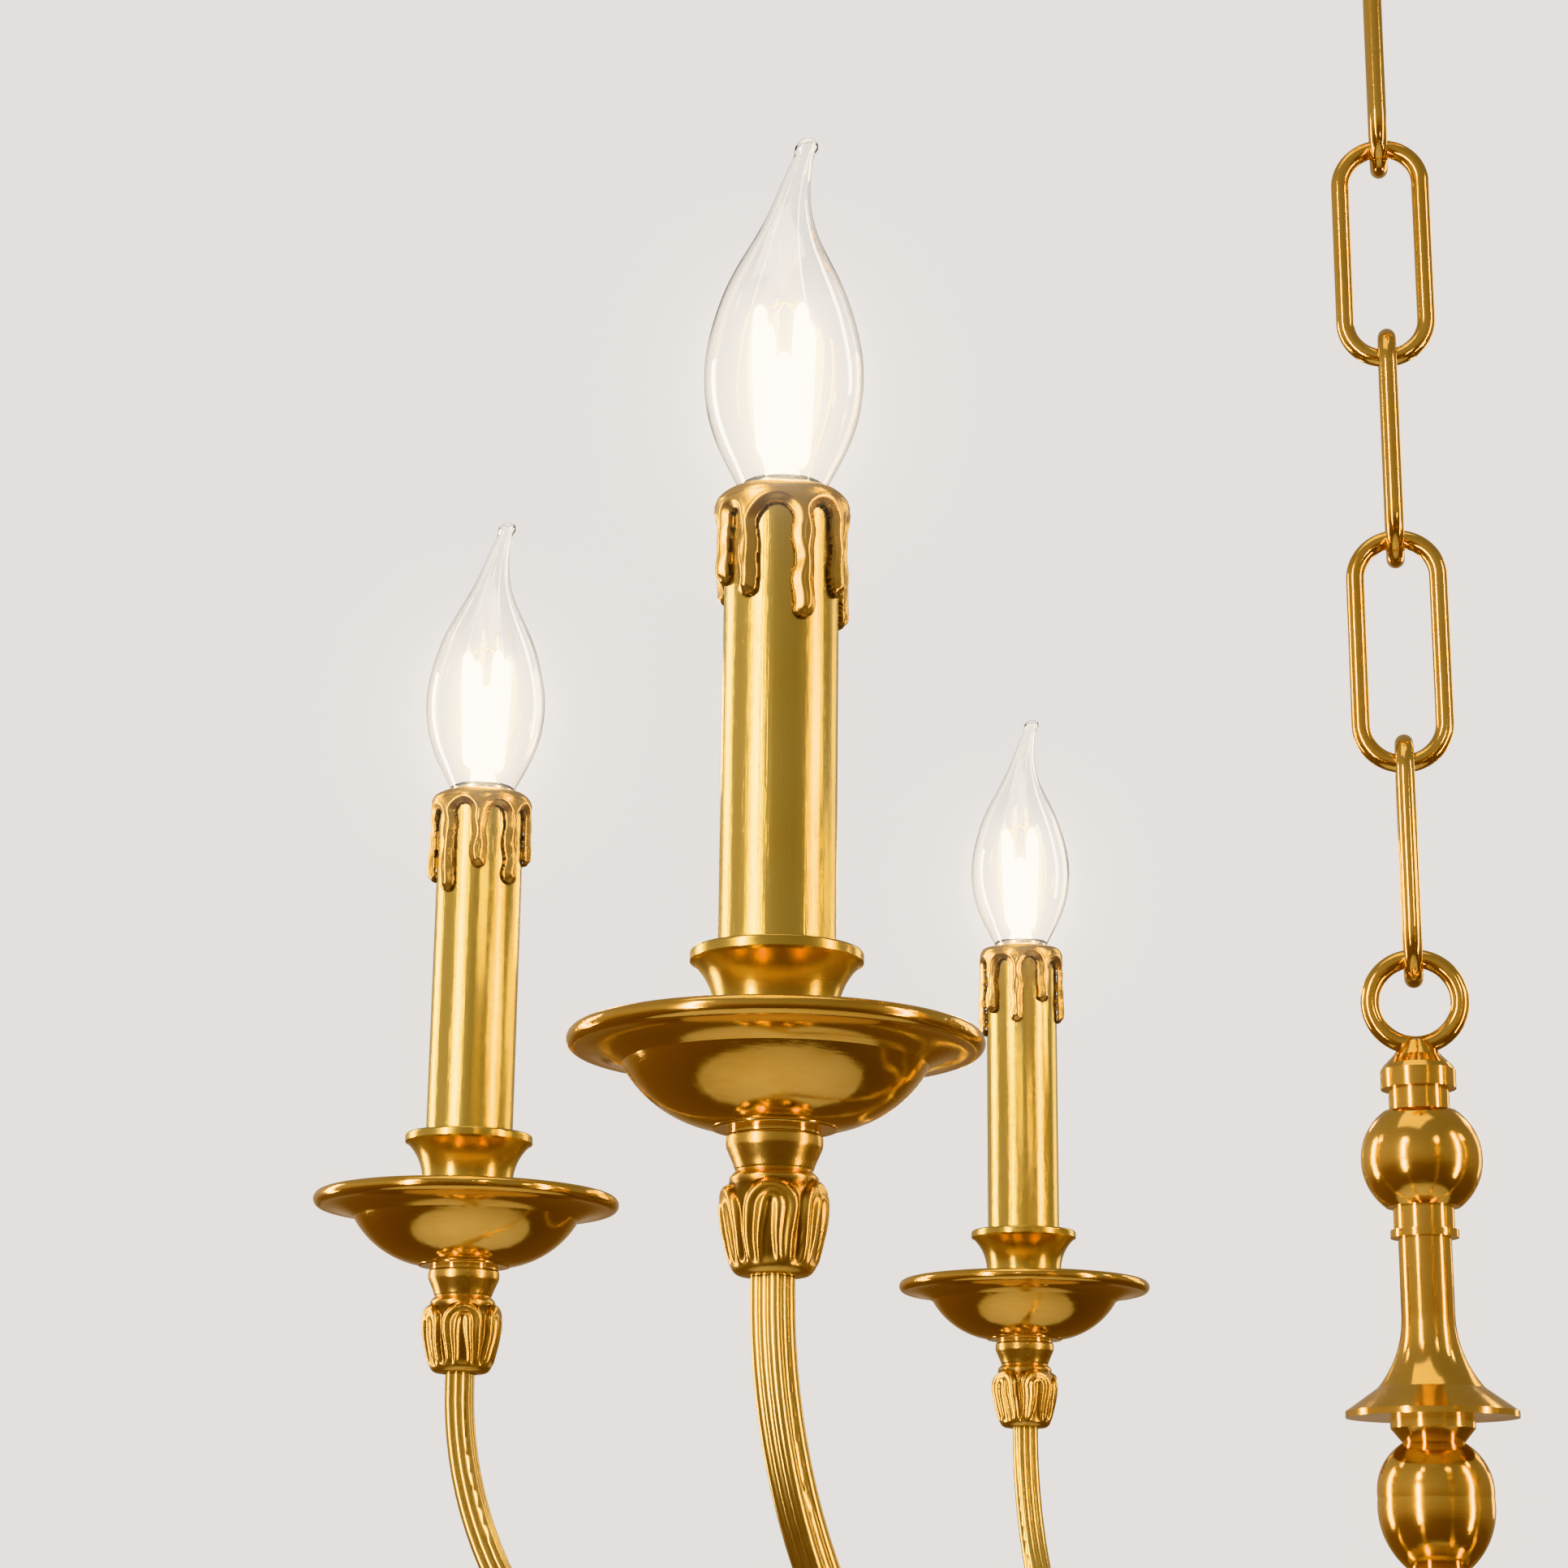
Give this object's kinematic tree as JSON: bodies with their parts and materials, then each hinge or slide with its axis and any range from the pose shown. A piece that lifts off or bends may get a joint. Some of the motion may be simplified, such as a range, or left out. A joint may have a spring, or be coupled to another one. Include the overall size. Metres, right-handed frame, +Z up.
{
  "type": "multi arm chandelier",
  "caption": "Brass candle-style chandelier: curved reeded arms with drip pans, tube candles and flame-tip lamps around a turned column, hung on a short chain from a ceiling canopy.",
  "frame": {"origin": "middle of the ceiling bracket's top face, between its two screw holes, in the ceiling's plane", "axes": "+Z up, away from the chandelier; +X along the bracket's hole line and arm 1"},
  "size_m": [0.616, 0.545, 0.6524],
  "materials": {
    "polished_brass": "polished, warm, slightly aged",
    "cast_brass": "cast and polished, darker in the hollows",
    "satin_brass": "satin, brushed lengthwise",
    "clear_glass": "clear, blown",
    "nickel_cap": "nickel plated",
    "white_socket": "matt",
    "wire_jacket": "clear gold lighting wire",
    "zinc_steel": "zinc plated"
  },
  "bodies": {
    "ceiling": {"ceiling_bracket": "zinc_steel", "ceiling_canopy": "polished_brass", "canopy_loop": "polished_brass"},
    "chain_link_1": {"chain_link_1": "polished_brass"},
    "chain_link_2": {"chain_link_2": "polished_brass"},
    "chain_link_3": {"chain_link_3": "polished_brass"},
    "chain_link_4": {"chain_link_4": "polished_brass"},
    "chain_link_5": {"chain_link_5": "polished_brass"},
    "chandelier": {"column_loop": "polished_brass", "column_ball": "polished_brass", "column_bell": "polished_brass", "column_vase": "polished_brass", "arm_hub": "cast_brass", "bottom_finial": "polished_brass", "tie_rod": "zinc_steel", "lamp_sockets": "white_socket", "drip_collars": "polished_brass", "arm_wires": "wire_jacket", "arm_1": "cast_brass", "arm_2": "cast_brass", "arm_3": "cast_brass", "arm_4": "cast_brass", "arm_5": "cast_brass", "arm_6": "cast_brass", "leaf_fitting_1": "cast_brass", "leaf_fitting_2": "cast_brass", "leaf_fitting_3": "cast_brass", "leaf_fitting_4": "cast_brass", "leaf_fitting_5": "cast_brass", "leaf_fitting_6": "cast_brass", "drip_pan_1": "polished_brass", "drip_pan_2": "polished_brass", "drip_pan_3": "polished_brass", "drip_pan_4": "polished_brass", "drip_pan_5": "polished_brass", "drip_pan_6": "polished_brass", "candle_cup_1": "polished_brass", "candle_cup_2": "polished_brass", "candle_cup_3": "polished_brass", "candle_cup_4": "polished_brass", "candle_cup_5": "polished_brass", "candle_cup_6": "polished_brass", "candle_sleeve_1": "satin_brass", "candle_sleeve_2": "satin_brass", "candle_sleeve_3": "satin_brass", "candle_sleeve_4": "satin_brass", "candle_sleeve_5": "satin_brass", "candle_sleeve_6": "satin_brass"},
    "bulb_1": {"bulb_base_1": "nickel_cap", "bulb_glass_1": "clear_glass"},
    "bulb_2": {"bulb_base_2": "nickel_cap", "bulb_glass_2": "clear_glass"},
    "bulb_3": {"bulb_base_3": "nickel_cap", "bulb_glass_3": "clear_glass"},
    "bulb_4": {"bulb_base_4": "nickel_cap", "bulb_glass_4": "clear_glass"},
    "bulb_5": {"bulb_base_5": "nickel_cap", "bulb_glass_5": "clear_glass"},
    "bulb_6": {"bulb_base_6": "nickel_cap", "bulb_glass_6": "clear_glass"}
  },
  "joints": [
    {"name": "canopy_loop_swing", "type": "hinge", "parent": "ceiling", "child": "chain_link_1", "pos_m": [0, 0, -0.088], "axis": [1, 0, 0], "range_deg": [-12, 12]},
    {"name": "link_1_swing", "type": "hinge", "parent": "chain_link_1", "child": "chain_link_2", "pos_m": [0, 0, -0.1486], "axis": [0, 1, 0], "range_deg": [-10, 10]},
    {"name": "chain_twist", "type": "hinge", "parent": "chain_link_2", "child": "chain_link_3", "pos_m": [0, 0, -0.2092], "axis": [0, 0, 1], "range_deg": [-25, 25]},
    {"name": "link_3_swing", "type": "hinge", "parent": "chain_link_3", "child": "chain_link_4", "pos_m": [0, 0, -0.2698], "axis": [0, 1, 0], "range_deg": [-10, 10]},
    {"name": "link_4_swing", "type": "hinge", "parent": "chain_link_4", "child": "chain_link_5", "pos_m": [0, 0, -0.3304], "axis": [1, 0, 0], "range_deg": [-12, 12]},
    {"name": "column_loop_swing", "type": "hinge", "parent": "chain_link_5", "child": "chandelier", "pos_m": [0, 0, -0.391], "axis": [0, 1, 0], "range_deg": [-10, 10]},
    {"name": "bulb_1_unscrew", "type": "hinge", "parent": "chandelier", "child": "bulb_1", "pos_m": [0.265, 0, -0.335], "axis": [0, 0, 1], "range_deg": [0, 1530]},
    {"name": "bulb_2_unscrew", "type": "hinge", "parent": "chandelier", "child": "bulb_2", "pos_m": [0.1325, 0.2295, -0.335], "axis": [0, 0, 1], "range_deg": [0, 1530]},
    {"name": "bulb_3_unscrew", "type": "hinge", "parent": "chandelier", "child": "bulb_3", "pos_m": [-0.1325, 0.2295, -0.335], "axis": [0, 0, 1], "range_deg": [0, 1530]},
    {"name": "bulb_4_unscrew", "type": "hinge", "parent": "chandelier", "child": "bulb_4", "pos_m": [-0.265, 0, -0.335], "axis": [0, 0, 1], "range_deg": [0, 1530]},
    {"name": "bulb_5_unscrew", "type": "hinge", "parent": "chandelier", "child": "bulb_5", "pos_m": [-0.1325, -0.2295, -0.335], "axis": [0, 0, 1], "range_deg": [0, 1530]},
    {"name": "bulb_6_unscrew", "type": "hinge", "parent": "chandelier", "child": "bulb_6", "pos_m": [0.1325, -0.2295, -0.335], "axis": [0, 0, 1], "range_deg": [0, 1530]}
  ]
}
